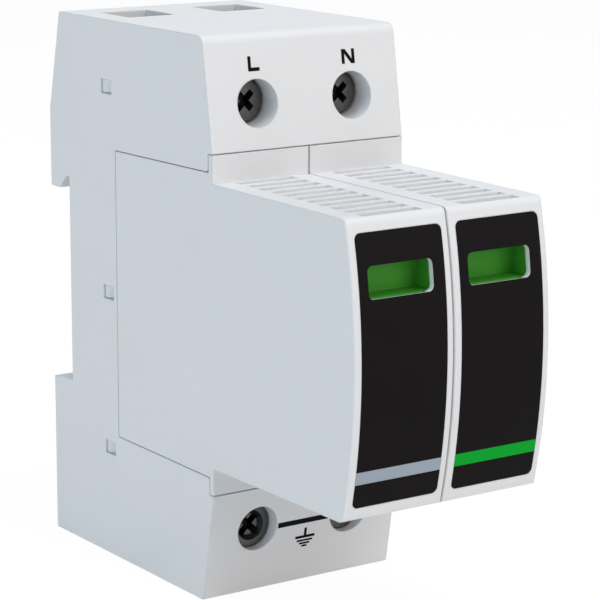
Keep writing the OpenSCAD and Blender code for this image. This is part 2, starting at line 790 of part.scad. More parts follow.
// Clamping cage, drawn open: a square frame whose thick front wall is the nut
module cage(side, end) {
    color("silver") at_terminal(side, end) translate([0, 0, term_z]) difference() {
        deep_box(-cage_w / 2, cage_w / 2, cage_rear_d, nut_rear_d + nut_t, -cage_h / 2, cage_h / 2);
        deep_box(-cage_in_w / 2, cage_in_w / 2, cage_in_d, nut_rear_d, -cage_h / 2 - CUT, cage_h / 2 + CUT);
        rod_y(nut_rear_d - CUT, nut_rear_d + nut_t + CUT, shank_dia + 2 * pin_gap);
    }
}

// Cartridges, drawn about the middle of the module and set on their pole

module at_module(side) {
    translate([side * pole_x, 0, 0]) children();
}

// The curved front is a solid of revolution about an axis far behind it
module crown(w, r_in, r_out, round_r) {
    translate([0, crown_y, 0]) rotate([0, 90, 0]) rotate_extrude($fn = 180) {
        translate([r_in, -w / 2]) square([r_out - r_in - round_r, w]);
        translate([r_in, -w / 2 + round_r]) square([r_out - r_in, w - 2 * round_r]);
        if (round_r > 0) for (s = [-1, 1])
            translate([r_out - round_r, s * (w / 2 - round_r)]) circle(round_r);
    }
}

// Half height of the nose's deck at a depth
function deck_z(d) = nose_z0 - nose_slope * (d - block_d);

// Side outline of the nose, with the fillet between deck and crown
module nose_outline() {
    ahead_d = nose_d + 4 * CUT;
    lean = sqrt(1 + nose_slope * nose_slope);
    // Middle of the fillet: off the deck by its radius, and inside the crown by its radius
    deck_0 = deck_z(0) - nose_r * lean;
    inner_r = crown_r - nose_r;
    qa = 1 + nose_slope * nose_slope;
    qb = crown_y - nose_slope * deck_0;
    qc = crown_y * crown_y + deck_0 * deck_0 - inner_r * inner_r;
    fillet_d = (-qb + sqrt(qb * qb - qa * qc)) / qa;
    centre = [-fillet_d, deck_0 - nose_slope * fillet_d];
    out = unit(centre - [crown_y, 0]) * (nose_r + CUT);
    up = [-nose_slope, 1] / lean * (nose_r + CUT);
    difference() {
        polygon([[-flange_d, -deck_z(flange_d)], [-flange_d, deck_z(flange_d)],
                 [-ahead_d, deck_z(ahead_d)], [-ahead_d, -deck_z(ahead_d)]]);
        for (s = [0, 1]) mirror([0, s]) difference() {
            polygon([centre, centre + up, centre + [-3 * nose_r, up[1]], centre + out * 2]);
            translate(centre) circle(nose_r);
        }
    }
}

module window_shape() {
    translate([window_x, window_z]) round_rect(window_w, window_h, window_r);
}

// What the sloped sill takes from the front wall, between the window's rounded corners
module window_sill() {
    z0 = window_z - window_h / 2;
    d = sqrt(pow(film_floor_r - film_t, 2) - z0 * z0) - crown_y;
    half_w = window_w / 2 - window_r - clip_gap;
    across(window_x - half_w, window_x + half_w) polygon([
        [-d, z0], [front_t - d, z0 - front_t * tan(sill_angle)],
        [front_t - d, window_z], [-d, window_z]]);
}

module cartridge(side) {
    w = module_w;
    step_d = flange_d - slide_gap;
    color("whitesmoke") at_module(side) difference() {
        union() {
            across(-w / 2, w / 2) polygon([
                [-plug_rear_d, -plug_z0], [-plug_rear_d, plug_z0],
                [-flange_d, plug_z1], [-flange_d, -plug_z1]]);
            deep_box(-w / 2, w / 2, flange_d, block_d, -flange_z, flange_z);
            intersection() {
                across(-w / 2, w / 2) nose_outline();
                crown(w, crown_r / 4, crown_r, side_r);
            }
        }
        across(-inner_u, inner_u) polygon([
            [-plug_rear_d + CUT, deck_t - plug_z0], [-plug_rear_d + CUT, plug_z0 - deck_t],
            [-step_d, plug_z1 - deck_t], [-step_d, deck_t - plug_z1]]);
        intersection() {
            across(-inner_u, inner_u) polygon([
                [CUT - step_d, deck_t - deck_z(step_d)], [CUT - step_d, deck_z(step_d) - deck_t],
                [-nose_d, deck_z(nose_d) - deck_t], [-nose_d, deck_t - deck_z(nose_d)]]);
            translate([0, crown_y, 0]) rod_x(-w, w, 2 * (crown_r - front_t));
        }
        between(tray_back_d, nose_d + CUT) window_shape();
        window_sill();
        intersection() {
            crown(w, film_floor_r - glue_t, crown_r + CUT, 0);
            between(tray_back_d, nose_d + CUT) round_rect(film_w, film_h, film_r);
        }
        both_ends() for (i = [0:groove_count - 1]) let (d = groove_d + i * groove_pitch)
            deep_box(-groove_l / 2, groove_l / 2, d - groove_w / 2, d + groove_w / 2,
                     deck_z(d) - groove_deep, nose_z0 + CUT);
    }
}

module back_plate(side) {
    u = inner_u - clip_gap;
    z = plug_z0 - deck_t - clip_gap;
    color("lightgray") at_module(side) difference() {
        deep_box(-u, u, plate_d, plate_in_d, -z, z);
        both_ends() deep_box(blade_u0 - clip_gap, blade_u1 + clip_gap, plate_d - CUT, plate_in_d + CUT,
                             blade_z - blade_h / 2 - clip_gap, blade_z + blade_h / 2 + clip_gap);
    }
}

// Film that lies in a shallow recess of the curved front
module front_film(side) {
    color("black") at_module(side) intersection() {
        crown(module_w, film_floor_r, crown_r, 0);
        between(tray_back_d, nose_d + CUT) difference() {
            round_rect(film_w - clip_gap, film_h - clip_gap, film_r);
            window_shape();
        }
    }
}

// Blade with a thinned tip
module blade(inner_d) {
    tip = plug_rear_d - blade_reach;
    full = tip + blade_lead;
    upright(blade_z - blade_h / 2, blade_z + blade_h / 2) polygon([
        [blade_u0, -inner_d], [blade_u1, -inner_d], [blade_u1, -full],
        [blade_u + blade_t / 5, -tip], [blade_u - blade_t / 5, -tip], [blade_u0, -full]]);
}

// Upper blade: folded round the core to the strip on its outer face
module upper_blade(side) {
    z0 = blade_z - blade_h / 2;
    z1 = blade_z + blade_h / 2;
    color("burlywood") at_module(side) {
        blade(fold_d + blade_t);
        deep_box(core_u0 - strip_t, blade_u1, fold_d, fold_d + blade_t, z0, z1);
        deep_box(core_u0 - strip_t, core_u0, fold_d, core_mid_d, z0, z1);
    }
}

// Lower blade: its tongue runs to the solder pad on the core's inner face
module lower_blade(side) {
    z0 = -blade_z - blade_h / 2;
    z1 = -blade_z + blade_h / 2;
    color("burlywood") at_module(side) {
        mirror([0, 0, 1]) blade(fold_d);
        deep_box(blade_u0, blade_u1, fold_d, core_mid_d, z0 + blade_h / 4, z1);
        deep_box(blade_u0, blade_u1, core_mid_d - pad_l, core_mid_d, z1, pad_l / 2);
        deep_box(core_u1, blade_u0, core_mid_d - pad_l, core_mid_d, -pad_l / 2, pad_l / 2);
    }
}

module line_varistor() {
    color("navy") at_module(-1) translate([0, -core_mid_d, 0])
        across(core_u0, core_u1) round_rect(core_l, core_l, core_r);
}

module neutral_gas_tube() {
    color("ivory") at_module(1) translate([0, -core_mid_d, 0])
        rod_x(core_u0 + cap_t, core_u1 - cap_t, tube_dia);
}

module neutral_tube_caps() {
    color("silver") at_module(1) translate([0, -core_mid_d, 0]) {
        rod_x(core_u0, core_u0 + cap_t, tube_dia - 2 * cap_step);
        rod_x(core_u1 - cap_t, core_u1, tube_dia - 2 * cap_step);
    }
}

// Carrier: a side plate with two ledges for the core, the pivot's boss,
// the trip spring's shelf and the wall behind the status plate
module carrier(side) {
    ledge = core_l / 2 + slide_gap;
    edge_z = ledge + carrier_t;
    front_d = status_d - strip_t;
    shelf_l = trip_spring_dia / 2 + tail_over;
    color("darkslategray") at_module(side) difference() {
        union() {
            deep_box(carrier_u0, carrier_u1, plate_in_d + clip_gap, front_d, -edge_z, edge_z);
            both_ends() deep_box(core_u0, carrier_u1, core_d - ledge_over, core_d + core_l + ledge_over,
                                 ledge, edge_z);
            translate([0, -pivot_d, pivot_z])
                rod_x(lever_u1 + slide_gap, carrier_u1 - carrier_t / 2, pin_dia + 2 * boss_t);
            deep_box(spring_u - trip_spring_dia / 2, carrier_u1, spring_d - shelf_l, spring_d + shelf_l,
                     spring_foot_z - carrier_t, spring_foot_z);
            deep_box(-tray_w / 2, carrier_u1, front_d - carrier_t, front_d,
                     status_z0 - wall_over, tray_z1 + wall_over);
        }
        translate([0, -pivot_d, pivot_z]) rod_x(0, module_w, pin_dia + pin_gap / 2);
    }
}

module lever_pin(side) {
    color("silver") at_module(side) translate([0, -pivot_d, pivot_z])
        rod_x(lever_u0 - pin_over, carrier_u1, pin_dia);
}

// Trip lever: its arm carries the status flag, its tail takes the spring
module trip_lever(side) {
    top = lever_z0 + lever_h;
    rear = -tray_rear_d;
    front = rear - post_l;
    color("darkolivegreen") at_module(side) difference() {
        union() {
            deep_box(lever_u0, lever_u1, pivot_d - tail_l, tray_rear_d, lever_z0, top);
            across(lever_u0, lever_u1) polygon([
                [rear + gusset_l, lever_z0], [rear, lever_z0], [front, lever_z0 + post_edge],
                [front, tray_z0], [rear, tray_z0], [rear + gusset_l, top]]);
            translate([0, -pivot_d, pivot_z]) rod_x(lever_u0, lever_u1, pin_dia + 2 * boss_t);
        }
        translate([0, -pivot_d, pivot_z]) rod_x(0, module_w, pin_dia + 2 * pin_gap);
    }
}

// Status flag: an open tray that fills the window, cut to the curve of the front wall
module status_flag(side) {
    inner_w = tray_w - 2 * tray_t;
    inner_h = tray_h - 2 * tray_t;
    color("forestgreen") at_module(side) intersection() {
        difference() {
            between(tray_rear_d, nose_d) translate([0, window_z])
                square([tray_w, tray_h], center = true);
            between(tray_back_d, nose_d + CUT) translate([0, window_z])
                square([inner_w, inner_h], center = true);
        }
        translate([0, crown_y, 0]) rod_x(-module_w, module_w, 2 * tray_r);
    }
}

// Red plate that shows when the flag has dropped
module status_plate(side) {
    color("firebrick") at_module(side)
        between(status_d - strip_t, status_d) translate([0, (status_z0 + tray_z1) / 2])
            round_rect(tray_w, tray_z1 - status_z0, window_r);
}

module trip_spring(side) {
    color("silver") at_module(side) translate([spring_u, -spring_d, spring_foot_z])
        coil(trip_spring_dia, spring_wire, trip_spring_l, 6);
}

base_housing();
rear_cover();
rail_clip();
rail_clip_spring();
bar(-1);  // line_bar
bar(1);  // neutral_bar
earth_bar();
contact(-1, 1);  // line_contact
contact(1, 1);  // neutral_contact
contact(-1, -1);  // line_earth_contact
contact(1, -1);  // neutral_earth_contact
screw(-1, 1);  // line_screw
screw(1, 1);  // neutral_screw
screw(-1, -1);  // line_earth_screw
screw(1, -1);  // neutral_earth_screw
cage(-1, 1);  // line_cage
cage(1, 1);  // neutral_cage
cage(-1, -1);  // line_earth_cage
cage(1, -1);  // neutral_earth_cage
cartridge(-1);  // line_housing
cartridge(1);  // neutral_housing
back_plate(-1);  // line_back_plate
back_plate(1);  // neutral_back_plate
front_film(-1);  // line_front_film
front_film(1);  // neutral_front_film
upper_blade(-1);  // line_upper_blade
upper_blade(1);  // neutral_upper_blade
lower_blade(-1);  // line_lower_blade
lower_blade(1);  // neutral_lower_blade
line_varistor();
neutral_gas_tube();
neutral_tube_caps();
carrier(-1);  // line_carrier
carrier(1);  // neutral_carrier
lever_pin(-1);  // line_lever_pin
lever_pin(1);  // neutral_lever_pin
trip_lever(-1);  // line_trip_lever
trip_lever(1);  // neutral_trip_lever
status_flag(-1);  // line_status_flag
status_flag(1);  // neutral_status_flag
status_plate(-1);  // line_status_plate
status_plate(1);  // neutral_status_plate
trip_spring(-1);  // line_trip_spring
trip_spring(1);  // neutral_trip_spring
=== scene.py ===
import math

import bmesh
import bpy
from mathutils import Euler, Matrix, Vector


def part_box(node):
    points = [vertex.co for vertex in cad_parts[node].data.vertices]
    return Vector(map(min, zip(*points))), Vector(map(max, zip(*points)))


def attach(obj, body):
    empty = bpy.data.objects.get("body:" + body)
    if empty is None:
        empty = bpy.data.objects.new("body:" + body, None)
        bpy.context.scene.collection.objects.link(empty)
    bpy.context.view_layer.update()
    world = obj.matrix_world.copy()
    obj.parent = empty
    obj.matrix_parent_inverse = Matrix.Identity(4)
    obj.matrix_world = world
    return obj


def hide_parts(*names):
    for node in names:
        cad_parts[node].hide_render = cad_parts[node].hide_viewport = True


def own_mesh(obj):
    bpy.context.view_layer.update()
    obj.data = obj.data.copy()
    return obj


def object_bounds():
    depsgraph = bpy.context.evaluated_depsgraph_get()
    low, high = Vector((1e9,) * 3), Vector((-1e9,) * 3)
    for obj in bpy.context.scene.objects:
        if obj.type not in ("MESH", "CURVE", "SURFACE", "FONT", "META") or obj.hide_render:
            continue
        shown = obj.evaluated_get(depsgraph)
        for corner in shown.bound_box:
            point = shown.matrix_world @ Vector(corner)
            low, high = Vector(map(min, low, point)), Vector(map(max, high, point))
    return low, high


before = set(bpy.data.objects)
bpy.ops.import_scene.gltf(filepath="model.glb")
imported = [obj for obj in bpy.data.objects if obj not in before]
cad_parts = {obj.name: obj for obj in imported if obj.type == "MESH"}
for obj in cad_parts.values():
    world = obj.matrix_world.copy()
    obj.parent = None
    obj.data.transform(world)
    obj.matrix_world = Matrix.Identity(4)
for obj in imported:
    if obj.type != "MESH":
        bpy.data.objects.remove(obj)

cad_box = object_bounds()

# Base housing and rear cover
# One U-shaped injection moulding in light grey polyamide, with a terminal block at each end,
# and the cover that snaps into it from the rail side. Both have the fine matt grain of an eroded mould.
MM = 0.001
HOUSING_GREY = (0.765, 0.77, 0.775)
PLASTIC_TINTS = (0.975, 1.02)


class Wire:
    """A shader socket. Arithmetic on wires adds Math nodes, and make() adds any other node."""

    def __init__(self, tree, socket):
        self.tree = tree
        self.socket = socket

    def make(self, kind, settings=None, inputs=None, out=0):
        node = self.tree.nodes.new(kind)
        for name, value in (settings or {}).items():
            setattr(node, name, value)
        for name, value in (inputs or {}).items():
            if isinstance(value, Wire):
                self.tree.links.new(value.socket, node.inputs[name])
            else:
                node.inputs[name].default_value = value
        return Wire(self.tree, node.outputs[out])

    def math(self, operation, first, second):
        return self.make("ShaderNodeMath", {"operation": operation}, {0: first, 1: second})

    def __add__(self, other):
        return self.math("ADD", self, other)

    def __radd__(self, other):
        return self.math("ADD", other, self)

    def __mul__(self, other):
        return self.math("MULTIPLY", self, other)

    def __rmul__(self, other):
        return self.math("MULTIPLY", other, self)

    def __gt__(self, other):
        return self.math("GREATER_THAN", self, other)

    def __lt__(self, other):
        return self.math("LESS_THAN", self, other)

    def axis(self, index):
        return self.make("ShaderNodeSeparateXYZ", inputs={"Vector": self}, out=index)

    def noise(self, size, detail):
        """Noise with features of about this size, in metres."""
        return self.make("ShaderNodeTexNoise", inputs={"Vector": self, "Scale": 1.0 / size, "Detail": detail})

    def blend(self, low, high):
        """A colour that goes from low to high as this value goes from 0 to 1."""
        low, high = (end if isinstance(end, Wire) else (*end, 1.0) for end in (low, high))
        # A Mix node has its two colours at places 6 and 7, and gives the blend at place 2
        return self.make("ShaderNodeMix", {"data_type": "RGBA"}, {"Factor": self, 6: low, 7: high}, out=2)

    def relief(self, height, depth, strength, edge):
        """A normal that raises this height on faces whose edges are softened to a radius."""
        soft = self.make("ShaderNodeBevel", {"samples": 6}, {"Radius": edge})
        return self.make("ShaderNodeBump", inputs={"Height": height, "Distance": depth, "Strength": strength,
                                                   "Normal": soft})


def new_material(name):
    """An empty finish: the material, its shader, and the piece's own coordinates."""
    material = bpy.data.materials.new(name)
    material.use_nodes = True
    tree = material.node_tree
    place = Wire(tree, tree.nodes.new("ShaderNodeTexCoord").outputs["Object"])
    return material, tree.nodes["Principled BSDF"], place


def feed(shader, **sockets):
    """Sets or links the shader's sockets; Base_Color stands for Base Color."""
    for name, value in sockets.items():
        socket = shader.inputs[name.replace("_", " ")]
        if isinstance(value, Wire):
            value.tree.links.new(value.socket, socket)
        else:
            socket.default_value = value


def surface(shader, place, shades, patch, grain, rough, swing=0.1, patch_detail=2.0, grain_detail=2.0,
            depth=0.0, strength=0.0, edge=0.0):
    """Feeds a shader patches of two shades, and a grain in its shine and its relief. Gives the colour."""
    colour = place.noise(patch, patch_detail).blend(*shades)
    grit = place.noise(grain, grain_detail)
    feed(shader, Base_Color=colour, Roughness=rough - swing / 2 + swing * grit)
    if strength:
        feed(shader, Normal=place.relief(grit, depth, strength, edge))
    return colour


def tint(colour, factor):
    return tuple(min(1.0, c * factor) for c in colour)


def grained_plastic(name, colour, grain=0.16 * MM, edge=0.3 * MM, rough=0.46, gloss=0.42):
    """Moulded plastic, almost even in shade, with the grain of its mould."""
    material, shader, place = new_material(name)
    surface(shader, place, [tint(colour, t) for t in PLASTIC_TINTS], patch=12 * MM, patch_detail=3.0,
            grain=grain, rough=rough, depth=0.02 * MM, strength=0.22, edge=edge)
    feed(shader, Specular_IOR_Level=gloss)
    return material


def dress(material, *names):
    """Gives CAD nodes their finish."""
    for name in names:
        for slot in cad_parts[name].material_slots:
            slot.material = material


dress(grained_plastic("housing_plastic", HOUSING_GREY), "base_housing", "rear_cover")

# Rail clip and its spring
# The dark slider that grips the rail's lower lip, moulded in plain polyamide,
# and the coil of bright spring wire that pushes it up.
CLIP_GREY = (0.085, 0.09, 0.095)
WIRE_GREY = (0.56, 0.56, 0.57)
METAL_TINTS = (0.86, 1.08)
dress(grained_plastic("clip_plastic", CLIP_GREY, grain=0.3 * MM, rough=0.5), "rail_clip")


def drawn_metal(name, colour, rough, edge=0.12 * MM):
    """Metal with fine scratches and a slightly uneven shine."""
    material, shader, place = new_material(name)
    surface(shader, place, [tint(colour, t) for t in METAL_TINTS], patch=3 * MM, patch_detail=3.0,
            grain=0.4 * MM, grain_detail=4.0, rough=rough, swing=0.16, depth=0.01 * MM, strength=0.25, edge=edge)
    feed(shader, Metallic=1.0)
    return material


spring_steel = drawn_metal("spring_steel", WIRE_GREY, rough=0.3, edge=0.2 * MM)
dress(spring_steel, "rail_clip_spring", "line_trip_spring", "neutral_trip_spring")


def link_piece(name, bm, *materials):
    """Makes a bmesh an object of the scene, in its finish."""
    bmesh.ops.recalc_face_normals(bm, faces=bm.faces)
    mesh = bpy.data.meshes.new(name)
    bm.to_mesh(mesh)
    bm.free()
    for material in materials:
        mesh.materials.append(material)
    piece = bpy.data.objects.new(name, mesh)
    bpy.context.scene.collection.objects.link(piece)
    return piece


# The clip's coil has a closed turn at each end, and is pressed together from above as the clip goes down
WIRE_D = 0.5 * MM
WIRE_SIDES = 12
COIL_STEPS = 32
OPEN_TURNS = 4
coil_lo, coil_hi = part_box("rail_clip_spring")
coil_foot = Vector(((coil_lo.x + coil_hi.x) / 2, (coil_lo.y + coil_hi.y) / 2, coil_lo.z))
coil_l = coil_hi.z - coil_lo.z
bm = bmesh.new()
wire_at = coil_foot + Vector(((coil_hi.x - coil_lo.x - WIRE_D) / 2, 0, WIRE_D / 2))
bmesh.ops.create_circle(bm, cap_ends=True, segments=WIRE_SIDES, radius=WIRE_D / 2,
                        matrix=Matrix.Translation(wire_at) @ Matrix.Rotation(math.pi / 2, 4, "X"))
wound = [*bm.verts, *bm.edges, *bm.faces]
for turns, pitch in ((1, WIRE_D), (OPEN_TURNS, (coil_l - 3 * WIRE_D) / OPEN_TURNS), (1, WIRE_D)):
    wound = bmesh.ops.spin(bm, geom=wound, cent=coil_foot, axis=(0, 0, 1), dvec=(0, 0, pitch / COIL_STEPS),
                           angle=math.tau * turns, steps=COIL_STEPS * turns)["geom_last"]
bmesh.ops.holes_fill(bm, edges=[e for e in bm.edges if e.is_boundary])
coil = link_piece("rail_clip_coil", bm, spring_steel)
coil.data.shade_smooth()
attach(coil, "base")
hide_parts("rail_clip_spring")
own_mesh(coil)

# Conductors in the base
# Folded bars of bright copper that run from the cages to the spine, and tulip-shaped
# contacts of spring bronze under their shelves, which grip the cartridge blades.
TERMINALS = ("line", "neutral", "line_earth", "neutral_earth")
COPPER = (0.78, 0.42, 0.27)
BRONZE = (0.76, 0.55, 0.29)
dress(drawn_metal("copper", COPPER, rough=0.32), "line_bar", "neutral_bar", "earth_bar")
dress(drawn_metal("contact_bronze", BRONZE, rough=0.28), *[f"{t}_contact" for t in TERMINALS])

# Terminal screws
# Cheese-head screws of black plated steel: turned heads, flat at the poles and dished at the
# earth terminals, with a struck cross recess and a rolled M5 thread. Their sizes are in millimetres.
SCREW_GREY = (0.1, 0.1, 0.102)
# How far the dish wall's steel is darkened: painted shade in the dish
DISH_PAINTED_SHADE = 0.3
# The near-black of the cross recess is painted shade
RECESS_PAINTED_SHADE = (0.004, 0.004, 0.004)
RECESS_TINTS = (0.7, 1.6)
# Outlines of the turned heads: radius, and depth behind the front of the head's collar
FLAT_HEAD = [(0, -0.5), (3.2, -0.5), (3.35, -0.35), (3.35, 0.2), (3.55, 0.2), (3.65, 0.3), (3.65, 3.6)]
DISHED_HEAD = [(0, 0.8), (1.75, 0.8), (2.5, 0), (3.5, 0), (3.65, 0.15), (3.65, 3.6)]
# The wall of a dish, which gets painted shade: its least depth, and its greatest as a share of the dish
DISH_WALL = (0.1, 0.9)
CORE_R = 2.2
TIP_R = 1.75
TIP_H = 0.5
TURN_STEPS = 72
SHARP_EDGE = math.radians(25)
MERGE = 0.002 * MM
# Section of the thread's ridge: radius, and place along the pitch
RIDGE = [(2.15, 0.04), (2.45, 0.34), (2.45, 0.46), (2.15, 0.76)]
THREAD_PITCH = 0.8
THREAD_STEPS = 24
BARE_TURNS = 2
# Cross recess: its arms' turns in degrees, their length and width in front of the head,
# what is left of these at its foot, and how far it reaches before and behind the face
CROSS_TURNS = (45, 135)
CROSS_L = 4.5
CROSS_W = 1.22
CROSS_FOOT = (0.6, 1.0, 0.8)
CROSS_FRONT = 0.9
CROSS_DEEP = 1.8
# A screw's three finishes, in order, are the plated steel, the painted shade of its recess and the painted shade
# of its dish
IN_RECESS = 1
IN_DISH = 2

screw_steel = drawn_metal("screw_steel", SCREW_GREY, rough=0.4)
# A darker copy of the screw steel for the dish wall: painted shade
painted_shade_dish_steel = drawn_metal("painted_shade_dish_steel", tint(SCREW_GREY, DISH_PAINTED_SHADE), rough=0.55)
# The recess's near-black finish is painted shade
painted_shade_recess, shader, place = new_material("painted_shade_recess")
surface(shader, place, [tint(RECESS_PAINTED_SHADE, t) for t in RECESS_TINTS], patch=0.5 * MM, grain=0.2 * MM, rough=0.65)
feed(shader, Specular_IOR_Level=0.2)
dress(screw_steel, *[f"{t}_screw" for t in TERMINALS])


def turned_blank(front, outline):
    """A screw without thread and recess, spun about an axis along Y that starts at front."""
    bm = bmesh.new()
    verts = [bm.verts.new(front + Vector((radius, depth, 0)) * MM) for radius, depth in outline]
    edges = [bm.edges.new(pair) for pair in zip(verts, verts[1:])]
    bmesh.ops.spin(bm, geom=verts + edges, cent=front, axis=(0, 1, 0), angle=math.tau,
                   steps=TURN_STEPS, use_merge=True)
    bmesh.ops.remove_doubles(bm, verts=bm.verts, dist=MERGE)
    return bm


def cross_punch(floor):
    """The tapered cross that is struck into a head, about the middle of the face."""
    bm = bmesh.new()
    reach = CROSS_FRONT + CROSS_DEEP
    for turn in CROSS_TURNS:
        arm = bmesh.ops.create_cube(bm, size=1)["verts"]
        bmesh.ops.scale(bm, vec=CROSS_FOOT, verts=[v for v in arm if v.co.y > 0])
        bmesh.ops.scale(bm, vec=Vector((CROSS_L, reach, CROSS_W)) * MM, verts=arm)
        bmesh.ops.rotate(bm, cent=(0, 0, 0), matrix=Matrix.Rotation(math.radians(turn), 3, "Y"), verts=arm)
        bmesh.ops.translate(bm, vec=floor + Vector((0, reach / 2 - CROSS_FRONT, 0)) * MM, verts=arm)
    # The punch's faces give the recess its painted shade
    for face in bm.faces:
        face.material_index = IN_RECESS
    return bm


def strike(screw, punch):
    """Cuts the punch out of a screw, and gives the screw's new mesh with its seams merged."""
    cut = screw.modifiers.new("recess", "BOOLEAN")
    cut.object = punch
    cut.use_self = True
    struck = bpy.data.meshes.new_from_object(screw.evaluated_get(bpy.context.evaluated_depsgraph_get()))
    screw.modifiers.clear()
    screw.data = struck
    bpy.data.objects.remove(punch)
    bm = bmesh.new()
    bm.from_mesh(struck)
    bmesh.ops.remove_doubles(bm, verts=bm.verts, dist=MERGE)
    bmesh.ops.dissolve_degenerate(bm, edges=bm.edges, dist=MERGE)
    bmesh.ops.triangulate(bm, faces=[f for f in bm.faces if len(f.verts) > 4])
    return bm


def roll_thread(bm, front, start, turns):
    """Winds the thread's ridge round the core, right-handed."""
    section = [bm.verts.new(front + Vector((radius, start + along, 0)) * MM) for radius, along in RIDGE]
    ridge = bm.faces.new(section)
    bmesh.ops.spin(bm, geom=[ridge, *ridge.edges, *ridge.verts], cent=front, axis=(0, 1, 0),
                   dvec=(0, THREAD_PITCH / THREAD_STEPS * MM, 0), angle=math.tau * turns,
                   steps=THREAD_STEPS * turns)
    bmesh.ops.holes_fill(bm, edges=[e for e in bm.edges if e.is_boundary])


for terminal in TERMINALS:
    head = DISHED_HEAD if "earth" in terminal else FLAT_HEAD
    lo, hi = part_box(f"{terminal}_screw")
    front = Vector(((lo.x + hi.x) / 2, lo.y, (lo.z + hi.z) / 2))
    tip = (hi.y - lo.y) / MM
    floor_at = head[0][1]
    neck = head[-1][1]
    blank = turned_blank(front, head + [(CORE_R, neck), (CORE_R, tip - TIP_H), (TIP_R, tip), (0, tip)])
    # The dish wall's faces take the painted shade
    for face in blank.faces:
        if DISH_WALL[0] * MM < face.calc_center_median().y - front.y < DISH_WALL[1] * MM * floor_at:
            face.material_index = IN_DISH
    screw = link_piece(f"{terminal}_cross_screw", blank, screw_steel, painted_shade_recess, painted_shade_dish_steel)
    cross = cross_punch(front + Vector((0, floor_at, 0)) * MM)
    bm = strike(screw, link_piece("punch", cross, screw_steel, painted_shade_recess))
    roll_thread(bm, front, neck + THREAD_PITCH, int((tip - TIP_H - neck) / THREAD_PITCH) - BARE_TURNS)
    bmesh.ops.recalc_face_normals(bm, faces=bm.faces)
    bm.to_mesh(screw.data)
    bm.free()
    screw.data.shade_smooth()
    screw.data.set_sharp_from_angle(angle=SHARP_EDGE)
    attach(screw, f"{terminal}_screw")
    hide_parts(f"{terminal}_screw")

# Clamping cages
# Square frames of zinc-plated steel with a thick threaded wall, in which the screws turn:
# they lift the wire against the bar. The lever pins and the tube's end plates have the same plate.
ZINC = (0.66, 0.66, 0.64)
dress(drawn_metal("zinc_steel", ZINC, rough=0.36), *[f"{t}_cage" for t in TERMINALS],
      "line_lever_pin", "neutral_lever_pin", "neutral_tube_caps")

# Terminal marks
# Plain pole letters over the upper screws, and the line that bridges the lower screws with the earth sign
# under it: one thin coat of black ink, printed on the sloping faces. Their sizes are in millimetres.
INK_BLACKS = ((0.002, 0.002, 0.0023), (0.0045, 0.0045, 0.005))
INK_T = 0.03 * MM
# The sloping faces run from the front of the terminal blocks to these places at the base's top and foot
TOP_Y = -41.7 * MM
BOTTOM_Y = -41.4 * MM
base_lo, base_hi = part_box("base_housing")
flange_lo, flange_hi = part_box("line_housing")
upper_face = (Vector((0, base_lo.y, flange_hi.z)), Vector((0, TOP_Y, base_hi.z)))
lower_face = (Vector((0, base_lo.y, flange_lo.z)), Vector((0, BOTTOM_Y, base_lo.z)))
ink, shader, place = new_material("black_ink")
surface(shader, place, INK_BLACKS, patch=0.6 * MM, grain=0.2 * MM, rough=0.55)
feed(shader, Specular_IOR_Level=0.06)


def ink_strokes(name, face, strokes):
    """Prints strokes, given by their corners in X and Z, on a sloping face."""
    near, far = face
    slope = (far.y - near.y) / (far.z - near.z)
    out = Vector((0, -1, slope)).normalized() * INK_T
    bm = bmesh.new()
    for corners in strokes:
        verts = [bm.verts.new((x * MM, near.y + (z * MM - near.z) * slope, z * MM)) for x, z in corners]
        coat = bmesh.ops.extrude_face_region(bm, geom=[bm.faces.new(verts)])["geom"]
        bmesh.ops.translate(bm, vec=out, verts=[v for v in coat if isinstance(v, bmesh.types.BMVert)])
    piece = link_piece(name, bm, ink)
    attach(piece, "base")


LETTER_Z = (39.15, 41.45)
STROKE = 0.56
LINE_X = (-10.15, -8.05)
ink_strokes("mark_line", upper_face, [[
    (LINE_X[0], LETTER_Z[0]), (LINE_X[1], LETTER_Z[0]), (LINE_X[1], LETTER_Z[0] + STROKE),
    (LINE_X[0] + STROKE, LETTER_Z[0] + STROKE), (LINE_X[0] + STROKE, LETTER_Z[1]), (LINE_X[0], LETTER_Z[1])]])

NEUTRAL_X = (7.5, 10.0)
DIAGONAL = 0.72
fall = (LETTER_Z[1] - LETTER_Z[0]) * STROKE / (NEUTRAL_X[1] - NEUTRAL_X[0] - DIAGONAL)
ink_strokes("mark_neutral", upper_face, [[
    (NEUTRAL_X[0], LETTER_Z[0]), (NEUTRAL_X[0] + STROKE, LETTER_Z[0]),
    (NEUTRAL_X[0] + STROKE, LETTER_Z[1] - fall), (NEUTRAL_X[1] - DIAGONAL, LETTER_Z[0]),
    (NEUTRAL_X[1], LETTER_Z[0]), (NEUTRAL_X[1], LETTER_Z[1]), (NEUTRAL_X[1] - STROKE, LETTER_Z[1]),
    (NEUTRAL_X[1] - STROKE, LETTER_Z[0] + fall), (NEUTRAL_X[0] + DIAGONAL, LETTER_Z[1]),
    (NEUTRAL_X[0], LETTER_Z[1])]])


def bar_of(x0, x1, z0, z1):
    return [(x0, z0), (x1, z0), (x1, z1), (x0, z1)]


BRIDGE_X = 4.95
BRIDGE_Z = (-34.93, -34.03)
